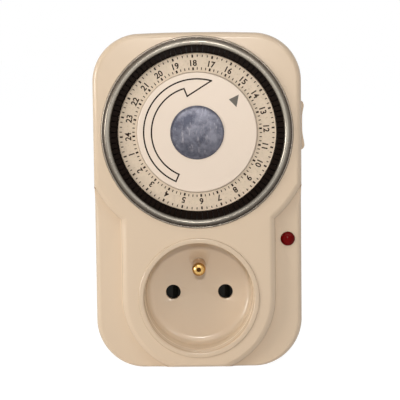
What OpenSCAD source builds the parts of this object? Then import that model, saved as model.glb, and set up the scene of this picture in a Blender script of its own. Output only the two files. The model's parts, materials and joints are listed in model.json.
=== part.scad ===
// Plug-in 24 hour timer switch for a French (earth pin) socket.
// A moulded two-part case with a raised keyhole face, a ring dial that carries 96 tappets,
// a recessed socket, and the clockwork, switch and contacts behind them.
//
// Frame: +X right and +Z up as the timer hangs, front towards -Y, plug pins towards +Y.
// Origin: the plug boss's end face, midway between the two plug pins.
// Each piece is drawn in its "face" axes, x right, y up, z out towards the user,
// with z = 0 at the plug boss's end face, and face() turns it into the frame.

/* [Case] */
// Width of the case
case_w = 73.5; // [72.5:0.5:78]
// Height of the case
case_h = 119.7; // [119:0.5:126]
// Radius of the case's four corners, seen from the front
corner_r = 17; // [15:0.5:19]
// How far the top and bottom edges bow out in the middle
edge_bow = 0.35; // [0.1:0.05:0.8]
// Depth from the case's rear face to its raised front face
case_depth = 43; // [42.5:0.5:46]
// How far the two lower side areas lie behind the raised face
side_drop = 3.5; // [2.5:0.25:4]
// Wall thickness of both covers
wall = 2.2; // [1.8:0.1:2.5]
// Rounding of the front edges
front_round = 2; // [1:0.25:3]
// Rounding of the rear edges
rear_round = 3; // [1:0.25:4]
// Depth of the rear cover, up to the parting line
rear_depth = 14; // [12:0.5:16]
// Width of the sloping foot round the raised face
slope_w = 1.7; // [1.5:0.1:3]
// Radius of the raised face round the dial
face_r = 39.5; // [39:0.25:41.5]
// Half width of the raised face's neck and of its round lower end
neck_half = 25.6; // [25.2:0.1:27]

/* [Plug] */
// Depth of the plug boss behind the case
boss_depth = 16; // [15:0.5:18]
// Radius of the plug boss
boss_r = 18.4; // [18:0.1:18.8]
// Thickness of the boss's end wall
boss_floor = 4; // [3:0.25:5]
// Radius of every contact pin
pin_r = 2.4; // [2.3:0.05:2.5]
// Length of the plug pins
pin_len = 19; // [18:0.5:20]
// Distance between the two pins, and between the two socket holes
pin_pitch = 19; // [18.5:0.1:19.5]
// Distance of the earth contact above the line through the two pins
earth_rise = 10; // [9.5:0.1:10.5]
// Radius of the hole for the wall socket's earth pin
earth_hole_r = 2.6; // [2.55:0.05:2.8]

/* [Dial] */
// Height of the case above the dial's centre
dial_from_top = 35.2; // [34.8:0.1:36]
// Radius of the fixed centre disc
disc_r = 21.2; // [20:0.1:21.6]
// Outer radius of the number ring
number_r = 28; // [27.6:0.1:28]
// Outer radius of the ring of tappets
tappet_r = 31.05; // [30.8:0.05:31.1]
// Quarter hours carried by the dial, one tappet each
tappets = 96; // [96]
// Travel of a tappet between off and on
tappet_travel = 2.4; // [2:0.1:2.6]
// Width of a tappet's head along the ring
tappet_w = 1.6; // [1.3:0.05:1.65]
// Angle of the hour-12 mark from the right-hand side
dial_phase = 3; // [0:0.5:6]
// Radius of the bright ring round the dial
bezel_r = 33.9; // [33.5:0.1:34.2]
// Width of the bright ring
bezel_w = 2.5; // [2:0.1:2.5]
// Radius of the round label on the centre disc
label_r = 9.5; // [8:0.25:10]
// Radius of the spindle that the dial turns on
spindle_r = 3; // [2.5:0.1:3.5]

/* [Gears] */
// Tooth size (module) of the dial gear and its pinion
dial_module = 0.8; // [0.8]
// Teeth of the gear under the dial
dial_teeth = 60; // [60]
// Teeth of the pinion that drives it
drive_teeth = 12; // [12]
// Tooth size (module) of the wheels behind it
train_module = 0.5; // [0.5]
// Teeth of the final wheel
final_teeth = 40; // [40]
// Teeth of the second wheel
second_teeth = 36; // [36]
// Teeth of the two small pinions
small_teeth = 10; // [10]
// Radius of the gear axles
axle_r = 1; // [0.8:0.05:1.2]

/* [Socket] */
// Distance of the socket's centre below the dial's centre
socket_drop = 59; // [58.8:0.1:59.5]
// Radius of the socket recess at its mouth
recess_r = 19.9; // [19.5:0.1:20]
// Depth of the socket recess
recess_depth = 15; // [14:0.5:16]
// Radius of the recess insert's lip
lip_r = 21.5; // [21.2:0.1:21.8]
// Radius of the two contact holes
hole_r = 2.7; // [2.6:0.05:2.8]
// Length of the earth pin above the recess floor
earth_len = 14; // [12:0.5:14.5]
// Travel of the child shutter
shutter_travel = 5.6; // [5.5:0.1:5.8]

/* [Controls] */
// Radius of the red indicator lens
lens_r = 2.5; // [2:0.1:2.7]
// Indicator lens position in from the case's right edge
lens_in = 4.95; // [4.9:0.05:6.5]
// Indicator lens position below the dial's centre
lens_drop = 38.4; // [37:0.1:44]
// Length of the override slider
slider_len = 18; // [16:0.5:19]
// Height of the slider's middle above the dial's centre
slider_y = 1.4; // [0:0.1:3]
// Travel of the override slider
slider_travel = 4; // [3:0.25:4.5]

/* [Hidden] */

$fn = 96;
eps = 0.01;

// Clearances
fit_gap = 0.05;          // a pin or shaft in its hole
slip_gap = 0.1;          // a piece dropped into its seat
run_gap = 0.3;           // between moving faces

// Depth levels, from the plug boss's end face towards the user
rear_z = boss_depth;
floor_z = rear_z + wall;
part_z = rear_z + rear_depth;
front_z = rear_z + case_depth;
side_z = front_z - side_drop;
roof_z = side_z - wall;
bar_z = floor_z + 3.6;
bar_t = 0.8;

// Heights, from the dial's centre
top_y = dial_from_top;
bottom_y = top_y - case_h;
socket_y = -socket_drop;
half_w = case_w / 2;
lens_x = half_w - lens_in;
corner_x = half_w - corner_r;
corner_top_y = top_y - edge_bow - corner_r;
corner_low_y = bottom_y + edge_bow + corner_r;

// Screw posts stand in the case's four corners
post_in = 7.75;
post_r = 4;
screw_r = 1.4;
post_top = [corner_x + post_in, corner_top_y + post_in];
post_low = [corner_x + post_in, corner_low_y - post_in];
plate_post = [0, (socket_y + lip_r - tappet_r) / 2];
plate_post_r = 2;

// Dial levels
number_z = front_z - 1.1;
web_t = 1.6;
web_z = number_z - 1.7;
flange_t = 1.5;
flange_z = web_z - 1.7;
head_z = flange_z + tappet_travel + slip_gap;
head_t = 2.4;
foot_z = flange_z - flange_t - 1.6;
slot_in = number_r + 0.8;
slot_out = tappet_r - 0.25;
slot_w = 1.1;
dial_edge_r = tappet_r + 0.15;
opening_r = bezel_r - bezel_w + 0.1;
bezel_seat = 1.6;
bezel_rise = 1.7;

// Gear train levels and places
gear_t = 3;
dial_gear_z = foot_z - tappet_travel - gear_t - 1;
final_z = dial_gear_z - 1.8;
second_z = final_z - 2;
plate_t = 1.5;
plate_z = second_z - 0.7 - plate_t;
wheel_t = 1.2;
dial_pitch_r = dial_module * dial_teeth / 2;
drive_pitch_r = dial_module * drive_teeth / 2;
final_pitch_r = train_module * final_teeth / 2;
second_pitch_r = train_module * second_teeth / 2;
small_pitch_r = train_module * small_teeth / 2;
final_dir = -120;
second_dir = 95;
rotor_dir = 65;
final_at = (dial_pitch_r + drive_pitch_r) * [cos(final_dir), sin(final_dir)];
second_at = final_at + (final_pitch_r + small_pitch_r) * [cos(second_dir), sin(second_dir)];
rotor_at = second_at + (second_pitch_r + small_pitch_r) * [cos(rotor_dir), sin(rotor_dir)];

// Motor
motor_r = 15;
motor_wall = 0.8;
motor_top_t = 1;
motor_z = plate_z - 14;
rotor_r = 5;
shaft_r = 0.8;

// Follower lever and contacts
lever_tip_y = 2.5;
lever_pivot = [-13, foot_z - 5.4];
lever_arm = lever_tip_y - lever_pivot[0];
lever_tail = 9.5;
lever_x = -(slot_in + slot_out) / 2;
lever_w = 3;
lever_pin_r = 0.8;
blade_pivot = [-34, lever_pivot[1] + 2];
blade_len = 15;
blade_t = 0.4;
blade_lift = 1.75;
button_t = 0.8;
base_z = plate_z + plate_t;
base_x = [lever_x - lever_w / 2 - 1.8, lever_x + lever_w / 2 + 1.8];
strip_x = -half_w + wall + 0.35;
strip_t = 0.5;

// Socket levels
recess_floor_z = front_z - recess_depth;
floor_t = 2.5;
under_z = recess_floor_z - floor_t;
shutter_t = 2;
shutter_z = under_z - run_gap - shutter_t;
block_top_z = shutter_z - 0.7;
block_z = bar_z + bar_t + 1.4;
contact_in = 2.35;
contact_out = 3.1;
earth_y = socket_y + earth_rise;
collar = 0.3;
rib_w = 1.1;
shutter_half = 4.5;
block_half = [15.5, 5.9];

// Plug levels
pin_x = pin_pitch / 2;
pin_head_t = 2;
pin_neck = 0.3;
back_rim = 6;
back_step = 0.3;
strap_z = boss_floor + 9;
strap_half = 2.5;

// Override slider
slot_half = [slider_len / 2 - 5 + slider_travel / 2, 2.6];
slider_z = part_z + 10;
override_x = half_w - wall - 1.6;

function arc_points(c, r, a0, a1, n) =
    [for (i = [0:n]) let (a = a0 + (a1 - a0) * i / n) c + r * [cos(a), sin(a)]];
function at_height(points, z) = [for (p = points) [p[0], p[1], z]];
function mirrored(points) = [for (i = [len(points) - 2:-1:1]) [-points[i][0], points[i][1], points[i][2]]];
function ring(points) = concat(points, mirrored(points));

// The case's outline, right half from the top middle to the bottom middle.
// The raised face leaves the side at the shoulder, follows the dial's circle to the neck,
// runs down the neck and round the socket, and meets the bottom edge at the clip point.
arc_n = 10;
turn_n = 6;
neck_n = 3;
round_n = 12;
function bow(x) = edge_bow * pow(x / corner_x, 2);
function shoulder_y(out, e) = -sqrt(pow(face_r + out, 2) - pow(half_w - e, 2));
function neck_y(out) = -sqrt(pow(face_r + out, 2) - pow(neck_half + out, 2));
function clip_x(out, e) = sqrt(max(pow(neck_half + out, 2) - pow(socket_y - bottom_y - e, 2), 4));
function top_run(e) = [for (i = [0:2]) let (x = corner_x * i / 3) [x, top_y - bow(x) - e]];
function top_turn(e) = arc_points([corner_x, corner_top_y], corner_r - e, 90, 0, arc_n);
function low_turn(e) = arc_points([corner_x, corner_low_y], corner_r - e, 0, -90, arc_n);
function low_run(x, e) = [for (i = [3:-1:0]) [x * i / 3, bottom_y + bow(x * i / 3) + e]];

function upper_part(out, e) = concat(top_run(e), top_turn(e), [[half_w - e, shoulder_y(out, e)]]);
// The side's rounding grows over this length below the shoulder
shoulder_run = 12;
function grown(t) = t >= 1 ? 1 : t * t * (3 - 2 * t);
function side_part(out, e) = let (
        y0 = shoulder_y(out, 0),
        step = (corner_low_y - y0) / (turn_n + neck_n + 1),
        x1 = (corner_x + clip_x(out, 0)) / 2)
    concat(
        [for (i = [1:turn_n + neck_n]) [half_w - e * grown(-i * step / shoulder_run), y0 + i * step]],
        low_turn(e),
        [[x1, bottom_y + bow(x1) + e]]);
function turned(c, r, a) = c + r * [cos(a), sin(a)];
function neck_part(out, e) = let (
        a0 = atan2(shoulder_y(out, e), half_w - e),
        a1 = atan2(neck_y(out), neck_half + out),
        a2 = -acos(clip_x(out, e) / (neck_half + out)))
    concat(
        [for (i = [1:turn_n]) turned([0, 0], face_r + out, a0 + (a1 - a0) * i / turn_n)],
        [for (i = [1:neck_n]) [neck_half + out, neck_y(out) + (socket_y - neck_y(out)) * i / neck_n]],
        [for (i = [1:round_n]) turned([0, socket_y], neck_half + out, a2 * i / (round_n + 1))]);

// The plain outline without the raised face
function plain_outline(e) = concat(top_run(e), top_turn(e), low_turn(e), low_run(corner_x * 2 / 3, e));

// One level of the case: the upper columns at (z, e), the side columns on the case's edge or on the neck
function edge_level(z, e, side_at, side_e, out) = ring(concat(
    at_height(upper_part(out, e), z), at_height(side_part(out, side_e), side_at),
    at_height(low_run(clip_x(out, e), e), z)));
function face_level(z, e, side_at, out) = ring(concat(
    at_height(upper_part(out, e), z), at_height(neck_part(out, e), side_at),
    at_height(low_run(clip_x(out, e), e), z)));

module loft(levels) {
    n = len(levels[0]);
    m = len(levels);
    polyhedron(
        points = [for (level = levels) for (p = level) p],
        faces = concat(
            [[for (i = [n - 1:-1:0]) i]],
            [for (j = [0:m - 2]) for (i = [0:n - 1]) let (k = (i + 1) % n)
                [j * n + i, j * n + k, (j + 1) * n + k]],
            [for (j = [0:m - 2]) for (i = [0:n - 1]) let (k = (i + 1) % n)
                [j * n + i, (j + 1) * n + k, (j + 1) * n + i]],
            [[for (i = [0:n - 1]) (m - 1) * n + i]]));
}

module face() { rotate([90, 0, 0]) children(); }
module at(p, z) { translate([p[0], p[1], z]) children(); }
module rod(p, r, z0, z1, n = 48) { at(p, z0) cylinder(r = r, h = z1 - z0, $fn = n); }
module slab(x0, x1, y0, y1, z0, z1) { translate([x0, y0, z0]) cube([x1 - x0, y1 - y0, z1 - z0]); }
module corners() {
    for (s = [-1, 1]) {
        for (p = [post_top, post_low]) translate([s * p[0], p[1], 0]) children();
    }
}
module case_outline(e) {
    polygon([for (p = ring(at_height(plain_outline(e), 0))) [p[0], p[1]]]);
}
module wire(points, r) {
    for (i = [0:len(points) - 2]) {
        a = points[i];
        d = points[i + 1] - a;
        translate(a) rotate([0, acos(d[2] / norm(d)), atan2(d[1], d[0])])
            cylinder(r = r, h = norm(d), $fn = 16);
        if (i > 0) translate(a) sphere(r = r, $fn = 16);
    }
}

// ---------------------------------------------------------------- gears

backlash = 0.14;
pressure = 20;
addendum = 0.85;
dedendum = 1.2;
function involute(base, r) = let (t = sqrt(pow(r / base, 2) - 1)) t * 180 / PI - atan(t);
function tooth_side(teeth, m, r) = let (
        pitch = m * teeth / 2,
        base = pitch * cos(pressure),
        half = 90 / teeth - backlash * m / pitch * 90 / PI)
    half + involute(base, pitch) - involute(base, max(r, base));
function tooth_radii(teeth, m) = let (
        pitch = m * teeth / 2,
        low = max(pitch * cos(pressure), pitch - dedendum * m),
        tip = pitch + addendum * m)
    concat([pitch - dedendum * m], [for (i = [0:4]) low + (tip - low) * i / 4]);
module gear_shape(teeth, m, phase) {
    radii = tooth_radii(teeth, m);
    polygon([for (t = [0:teeth - 1]) let (a = phase + 360 * t / teeth)
        for (i = [0:2 * len(radii) - 1]) let (
                up = i < len(radii),
                r = radii[up ? i : 2 * len(radii) - 1 - i],
                w = tooth_side(teeth, m, r) * (up ? -1 : 1))
            r * [cos(a + w), sin(a + w)]]);
}
// Angle of a tooth of the second gear of a pair, in mesh with a gear whose tooth stands at "phase"
function mesh_phase(dir, phase, teeth_a, teeth_b) = dir + 180 + ((dir - phase) * teeth_a - 180) / teeth_b;
drive_phase = mesh_phase(final_dir, 0, dial_teeth, drive_teeth);
final_phase = 0;
second_phase = mesh_phase(second_dir, final_phase, final_teeth, small_teeth);
rotor_phase = mesh_phase(rotor_dir, 0, second_teeth, small_teeth);

// ---------------------------------------------------------------- case

function front_levels() = concat(
    [edge_level(part_z, 0.3, part_z, 0.3, slope_w), edge_level(part_z + 0.3, 0, part_z + 0.3, 0, slope_w)],
    [for (i = [0:4]) let (a = 90 * i / 4)
        edge_level(side_z - front_round + i * 0.4, 0,
            side_z - front_round * (1 - sin(a)), front_round * (1 - cos(a)), slope_w)],
    [for (i = [0:6]) let (s = i / 6)
        face_level(side_z + s * (side_drop - front_round) + 0.1, 0,
            side_z + side_drop * (s < 0.5 ? 2 * s * s : 1 - 2 * pow(1 - s, 2)) * 0.86, slope_w * (1 - s * 0.8))],
    [for (i = [1:4]) let (a = 90 * i / 4)
        face_level(front_z - front_round * (1 - sin(a)), front_round * (1 - cos(a)),
            side_z + side_drop * (0.86 + 0.14 * sin(a)), slope_w * 0.2 * (1 - i / 4))]);

module front_cover() color("#dccdb4") face() {
    difference() {
        loft(front_levels());
        translate([0, 0, part_z - 1]) linear_extrude(roof_z - part_z + 1) case_outline(wall);
        at([0, 0], roof_z - 1) cylinder(r = opening_r, h = 10);
        at([0, 0], front_z - bezel_seat) cylinder(r = bezel_r + slip_gap, h = 10);
        at([0, socket_y], roof_z - 1) cylinder(r = lip_r - 0.2, h = 10);
        at([0, socket_y], front_z - 1.2) cylinder(r = lip_r + slip_gap, h = 10);
        rod([lens_x, -lens_drop], lens_r + fit_gap, roof_z - 1, side_z + 1);
        slab(half_w - wall - 1, half_w + 1, slider_y - slot_half[0], slider_y + slot_half[0],
            slider_z - slot_half[1], slider_z + slot_half[1]);
    }
    difference() {
        corners() cylinder_post();
        corners() rod([0, 0], screw_r + fit_gap, part_z - 1, part_z + 16);
    }
    difference() {
        rod(plate_post, plate_post_r, base_z, roof_z + 1);
        rod(plate_post, 0.8, base_z - 1, base_z + 8);
    }
}
module cylinder_post() {
    rod([0, 0], post_r, base_z, roof_z + 0.5);
    rod([0, 0], post_r - 1, part_z, base_z + 1);
}

module rear_cover() color("#d8c8ae") face() {
    difference() {
        union() {
            difference() {
                loft(rear_levels());
                translate([0, 0, rear_z - 1]) linear_extrude(1 + back_step) case_outline(back_rim);
            }
            at([0, 0], 0) rotate_extrude() boss_profile();
        }
        difference() {
            translate([0, 0, floor_z]) linear_extrude(rear_depth) case_outline(wall);
            corners() cylinder(r = post_r, h = part_z);
        }
        rod([0, 0], boss_r - 2, boss_floor, floor_z + 1, 96);
        for (s = [-1, 1]) rod([s * pin_x, 0], pin_r - pin_neck + fit_gap, -1, boss_floor + 1);
        rod([0, earth_rise], earth_hole_r, -1, boss_floor + 1);
        for (s = [-1, 1]) clip_groove(s);
        corners() rod([0, 0], screw_r + slip_gap, rear_z - 1, part_z + 1);
        corners() rod([0, 0], screw_r * 2 + slip_gap, rear_z - 1, rear_z + 4);
    }
    for (s = [-1, 1]) for (y = [-1, 1])
        rod([s * (block_half[0] - 1.7), socket_y + y * 4.4], 1.3, floor_z - 0.5, block_z);
    difference() {
        union() {
            translate([0, 0, part_z - 1.5]) linear_extrude(1.5) case_outline(wall - 0.3);
            translate([0, 0, part_z - eps]) linear_extrude(1.2) case_outline(wall + slip_gap);
        }
        translate([0, 0, part_z - 2]) linear_extrude(4) case_outline(wall + 1.1);
        corners() rod([0, 0], post_r + 0.5, part_z - 2, part_z + 2);
        slab(-half_w + wall, -half_w + wall + 2, contact_y - 2.5, contact_y + 2.5, part_z - 2, part_z + 2);
    }
}
function rear_level(z, e) = ring(at_height(plain_outline(e), z));
function rear_levels() = concat(
    [for (i = [0:4]) let (a = 90 * i / 4) rear_level(rear_z + rear_round * (1 - cos(a)), rear_round * (1 - sin(a)))],
    [rear_level(part_z - 0.3, 0), rear_level(part_z, 0.3)]);
module boss_profile() {
    polygon(concat([[0, 0]], [for (i = [0:4]) let (a = -90 + 90 * i / 4) [boss_r - 1 + cos(a), 1 + sin(a)]],
        [[boss_r, rear_z + 0.5], [0, rear_z + 0.5]]));
}
module clip_groove(s) {
    slab(-3.2, 3.2, s > 0 ? boss_r - 1 : -boss_r - 1, s > 0 ? boss_r + 1 : -boss_r + 1, 3, boss_depth);
    slab(-3.2, 3.2, s > 0 ? boss_r - 3 : -boss_r, s > 0 ? boss_r : -boss_r + 3, strap_z - 0.2, strap_z + 1.1);
}

module case_screws() color("silver") face() corners() {
    difference() {
        union() {
            rod([0, 0], screw_r * 2, rear_z + 1.4, rear_z + 4);
            rod([0, 0], screw_r, rear_z + 4 - eps, part_z + 14, 32);
        }
        slab(-2.2, 2.2, -0.35, 0.35, rear_z + 1, rear_z + 2.6);
        slab(-0.35, 0.35, -2.2, 2.2, rear_z + 1, rear_z + 2.6);
    }
}

// ---------------------------------------------------------------- socket

module socket_insert() color("#d2c0a4") face() at([0, socket_y], 0) {
    difference() {
        rotate_extrude() polygon(concat(
            [[0, under_z], [recess_r + 0.7, under_z], [recess_r + 1.1, front_z - 1.2],
                [lip_r, front_z - 1.2], [lip_r, front_z + 0.1]],
            [for (i = [0:4]) let (a = 90 * i / 4) [lip_r - 0.4 + 0.4 * cos(a), front_z + 0.1 + 0.4 * sin(a)]],
            [for (i = [0:4]) let (a = 90 + 90 * i / 4) [recess_r + 0.6 + 0.6 * cos(a), front_z - 0.1 + 0.6 * sin(a)]],
            [for (i = [0:4]) let (a = 0 - 90 * i / 4)
                [recess_r - 0.4 - 1 + cos(a), recess_floor_z + 1 + sin(a)]],
            [[0, recess_floor_z]]));
        for (s = [-1, 1]) rod([s * pin_x, 0], hole_r, under_z - 1, recess_floor_z + 1);
        for (s = [-1, 1]) at([s * pin_x, 0], recess_floor_z - 0.3)
            cylinder(r1 = hole_r, r2 = hole_r + 0.5, h = 0.5);
        rod([0, earth_rise], pin_r + collar + fit_gap, under_z - 1, recess_floor_z + 1);
    }
    for (s = [-1, 1]) slab(-13, 13, s > 0 ? shutter_half + run_gap : -shutter_half - run_gap - rib_w,
        s > 0 ? shutter_half + run_gap + rib_w : -shutter_half - run_gap, shutter_z - run_gap, under_z + 0.5);
}

module shutter() color("#4a4a4c") face() at([0, socket_y], 0) difference() {
    slab(-pin_x - 2.8, pin_x + 3.1, -shutter_half, shutter_half, shutter_z, shutter_z + shutter_t);
    rod([pin_x - shutter_travel, 0], hole_r + 0.1, shutter_z - 1, shutter_z + 3);
    for (s = [-1, 1]) translate([s * pin_x + 0.4, 0, shutter_z + shutter_t + 0.9]) rotate([0, 35, 0])
        cube([3.4, 5, 2.2], center = true);
}

module earth_pin() color("#c8a050") face() at([0, earth_y], 0) rotate_extrude(angle = 360) polygon(concat(
    [[0, under_z - 2.5], [pin_r + 1.5, under_z - 2.5], [pin_r + 1.5, under_z], [pin_r + collar, under_z],
        [pin_r + collar, recess_floor_z], [pin_r, recess_floor_z], [pin_r, recess_floor_z + earth_len - pin_r]],
    [for (i = [1:7]) let (a = 90 * i / 8) [pin_r * cos(a), recess_floor_z + earth_len - pin_r + pin_r * sin(a)]],
    [[0, recess_floor_z + earth_len]]));

module contact_block() color("#3c3a38") face() at([0, socket_y], 0) difference() {
    slab(-block_half[0], block_half[0], -block_half[1], block_half[1], block_z, block_top_z);
    for (s = [-1, 1]) rod([s * pin_x, 0], contact_out + slip_gap, block_z - 1, block_top_z + 1);
    slab(-4, 4, 1.5, block_half[1] + 1, block_z - 1, block_top_z + 1);
    slab(-4, 4, -block_half[1] - 1, -1.5, block_z + 3, block_top_z + 1);
}
module socket_contact(s) {
    at([s * pin_x, socket_y], 0) difference() {
        union() {
            rod([0, 0], contact_out, bar_z + bar_t, block_top_z - 0.2);
            rod([0, 0], contact_out + 0.9, bar_z + bar_t, bar_z + bar_t + 0.6);
        }
        rod([0, 0], contact_in, bar_z + bar_t + 1.5, block_top_z + 1);
        for (a = [0, 90]) rotate([0, 0, a])
            slab(-contact_out - 1, contact_out + 1, -0.4, 0.4, block_z + 5, block_top_z + 1);
    }
}
module live_contact() color("#c9a35a") face() socket_contact(-1);
module neutral_contact() color("#c9a35a") face() socket_contact(1);

// ---------------------------------------------------------------- plug side

module plug_pin(s) {
    at([s * pin_x, 0], 0) rotate_extrude() polygon(concat(
        [[0, -pin_len]], [for (i = [7:-1:1]) let (a = 90 * i / 8)
            [pin_r - 1 + cos(a), -pin_len + 1 - sin(a)]],
        [[pin_r, -pin_len + 1], [pin_r, 0], [pin_r - pin_neck, 0],
            [pin_r - pin_neck, boss_floor], [pin_r + 1.2, boss_floor],
            [pin_r + 1.2, boss_floor + pin_head_t], [0, boss_floor + pin_head_t]]));
}
module line_pin() color("#cfd0d2") face() plug_pin(-1);
module neutral_pin() color("#cfd0d2") face() plug_pin(1);

bar_root_z = boss_floor + pin_head_t;
riser_x = pin_x + 3.6;
module bar_root() {
    slab(pin_x - 3.5, riser_x + bar_t, -3, 3, bar_root_z, bar_root_z + bar_t);
    slab(riser_x, riser_x + bar_t, -3, 3, bar_root_z, bar_z + bar_t);
    slab(pin_x - 2, riser_x + bar_t, -3, 3, bar_z, bar_z + bar_t);
}
module neutral_bar() color("#b87333") face() {
    bar_root();
    slab(pin_x - 2, pin_x + 2, socket_y - 3, 0, bar_z, bar_z + bar_t);
}
terminal_y = blade_pivot[0] - 4.4;
module live_bar() color("#b87333") face() {
    mirror([1, 0, 0]) bar_root();
    slab(lever_x - 1.5, -pin_x, -3, 0, bar_z, bar_z + bar_t);
    slab(lever_x - 1.5, lever_x + 1.5, terminal_y, 0, bar_z, bar_z + bar_t);
    slab(lever_x - 1.5, lever_x + 1.5, terminal_y, terminal_y + bar_t, bar_z, blade_pivot[1] + 1.4);
    slab(lever_x - 1.5, lever_x + 1.5, terminal_y, blade_pivot[0] + 1, blade_pivot[1] + 0.6, blade_pivot[1] + 1.4);
}
contact_y = blade_pivot[0] + blade_len - 1;
fixed_z = blade_pivot[1] + blade_t / 2 + button_t + blade_lift + 0.25;
module load_bar() color("#b87333") face() {
    slab(strip_x, lever_x + 1.5, contact_y - 2, contact_y + 2, fixed_z + button_t, fixed_z + button_t + 0.6);
    rod([lever_x, contact_y], 1.3, fixed_z, fixed_z + button_t + 0.3, 32);
    slab(strip_x, strip_x + strip_t, contact_y - 2, contact_y + 2, bar_z, fixed_z + button_t + 0.6);
    slab(strip_x, strip_x + strip_t, socket_y - 2, contact_y + 2, bar_z, bar_z + 4);
    slab(strip_x, -pin_x + 3, socket_y - 2, socket_y + 2, bar_z, bar_z + bar_t);
}

module earth_sleeve() color("#c8a050") face() at([0, earth_rise], 0) difference() {
    rod([0, 0], earth_hole_r + 0.6, boss_floor + 0.1, strap_z);
    rod([0, 0], pin_r - fit_gap, boss_floor - 1, strap_z + 1);
    for (a = [0, 90]) rotate([0, 0, a]) slab(-6, 6, -0.35, 0.35, boss_floor - 1, boss_floor + 6);
}
strap_run_z = floor_z + 1.3;
strap_riser_y = -13;
module earth_strap() color("#b87333") face() {
    clip_reach = boss_r - 3.1;
    slab(-strap_half, strap_half, -clip_reach, clip_reach, strap_z, strap_z + bar_t);
    slab(-strap_half, strap_half, strap_riser_y, strap_riser_y + bar_t, strap_z, strap_run_z + bar_t);
    slab(-strap_half, strap_half, earth_y - 0.4, strap_riser_y + bar_t, strap_run_z, strap_run_z + bar_t);
    slab(-strap_half, strap_half, earth_y - 0.4, earth_y + 0.4, strap_run_z, under_z - 2.6);
    slab(-strap_half, strap_half, earth_y - 3, earth_y + 3, under_z - 3.1, under_z - 2.5);
}
module earth_clips() color("#cfd0d2") face() for (s = [0, 1]) mirror([0, s, 0]) {
    slab(-3, 3, boss_r - 0.9, boss_r - 0.1, 3.2, boss_depth - 0.2);
    slab(-3, 3, boss_r - 3, boss_r - 0.5, strap_z, strap_z + bar_t);
}

// ---------------------------------------------------------------- dial

module bezel_ring() color("#c4c2be") face() {
    mid = bezel_r - bezel_w / 2;
    rotate_extrude() polygon(concat(
        [[bezel_r - bezel_w, front_z - bezel_seat + eps], [bezel_r, front_z - bezel_seat + eps]],
        [for (i = [0:12]) let (a = 180 * i / 12)
            [mid + bezel_w / 2 * cos(a), front_z + 0.3 + (bezel_rise - 0.3) * sin(a)]]));
}

module center_disc() color("#efe6d4") face() difference() {
    rotate_extrude() polygon(concat(
        [[0, number_z - 0.7], [disc_r, number_z - 0.7]],
        [for (i = [0:4]) let (a = 90 * i / 4) [disc_r - 0.5 + 0.5 * cos(a), number_z + 0.3 + 0.5 * sin(a)]],
        [[0, number_z + 0.8]]));
    rod([0, 0], spindle_r / 2 + fit_gap, number_z - 1, number_z + 0.4);
}
module center_label() color("#6e7480") face()
    at([0, 0], number_z + 0.8) cylinder(r1 = label_r, r2 = label_r - 0.2, h = 0.35);

module dial_spindle() color("silver") face() {
    rod([0, 0], 2.5, plate_z, base_z + 1, 64);
    rod([0, 0], 6, base_z, base_z + 1.5, 64);
    rod([0, 0], spindle_r + 1.2, base_z + 1, web_z - 6.7, 64);
    difference() {
        rod([0, 0], spindle_r, web_z - 7, number_z - 0.9, 64);
        difference() {
            rod([0, 0], spindle_r + 1, web_z + 0.15, web_z + 0.65, 64);
            rod([0, 0], spindle_r - 0.4, web_z, web_z + 1, 64);
        }
    }
    rod([0, 0], spindle_r / 2, number_z - 1, number_z + 0.3, 64);
}
module dial_clip() color("#8c8f94") face() difference() {
    rod([0, 0], spindle_r + 2, web_z + 0.18, web_z + 0.62, 64);
    rod([0, 0], spindle_r - 0.35, web_z, web_z + 1, 64);
    slab(-1.5, 1.5, -8, 0, web_z, web_z + 1);
}

module number_dial() color("#d8ccb2") face() difference() {
    rotate_extrude() polygon([
        [spindle_r + fit_gap, web_z - 6.4], [spindle_r + 3, web_z - 6.4], [spindle_r + 3, web_z - web_t],
        [dial_edge_r - 4.5, web_z - web_t], [dial_edge_r - 4.5, flange_z - flange_t],
        [dial_edge_r, flange_z - flange_t], [dial_edge_r, flange_z], [number_r, flange_z],
        [number_r, number_z - 0.1], [number_r - 0.25, number_z + 0.15], [number_r - 0.5, number_z],
        [disc_r + 0.15, number_z], [disc_r + 0.15, number_z - 0.9], [disc_r - 0.6, web_z],
        [spindle_r + fit_gap, web_z]]);
    for (i = [0:tappets - 1]) rotate([0, 0, dial_phase + (i + 0.5) * 360 / tappets])
        slab(slot_in, slot_out, -slot_w / 2, slot_w / 2, flange_z - flange_t - 1, flange_z + 1);
}

skirt_out = dial_pitch_r - 1.4;
module dial_gear() color("#e8e4da") face() {
    difference() {
        union() {
            translate([0, 0, dial_gear_z]) linear_extrude(gear_t) gear_shape(dial_teeth, dial_module, 0);
            rod([0, 0], skirt_out, dial_gear_z + 1, web_z - web_t, 96);
        }
        rod([0, 0], skirt_out - 2.4, dial_gear_z - 1, web_z, 96);
    }
}

module tappet() {
    rotate([90, 0, 0]) translate([0, 0, -tappet_w / 2]) linear_extrude(tappet_w) polygon([
        [number_r + 0.15, head_z], [tappet_r, head_z], [tappet_r, head_z + head_t - 0.4],
        [tappet_r - 0.4, head_z + head_t], [number_r + 0.5, head_z + head_t],
        [number_r + 0.15, head_z + head_t - 0.35]]);
    slab(slot_in + fit_gap, slot_out - fit_gap, -slot_w / 2 + fit_gap, slot_w / 2 - fit_gap, foot_z, head_z + 0.2);
}
// A group is the twelve tappets of three hours, counted round from the hour-12 mark
module tappet_group(g) color("#1e1916") face() for (i = [0:11])
    rotate([0, 0, dial_phase + (12 * g + i + 0.5) * 360 / tappets]) tappet();
module tappets_12_15() tappet_group(0);
module tappets_15_18() tappet_group(1);
module tappets_18_21() tappet_group(2);
module tappets_21_24() tappet_group(3);
module tappets_0_3() tappet_group(4);
module tappets_3_6() tappet_group(5);
module tappets_6_9() tappet_group(6);
module tappets_9_12() tappet_group(7);

// ---------------------------------------------------------------- movement

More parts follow.
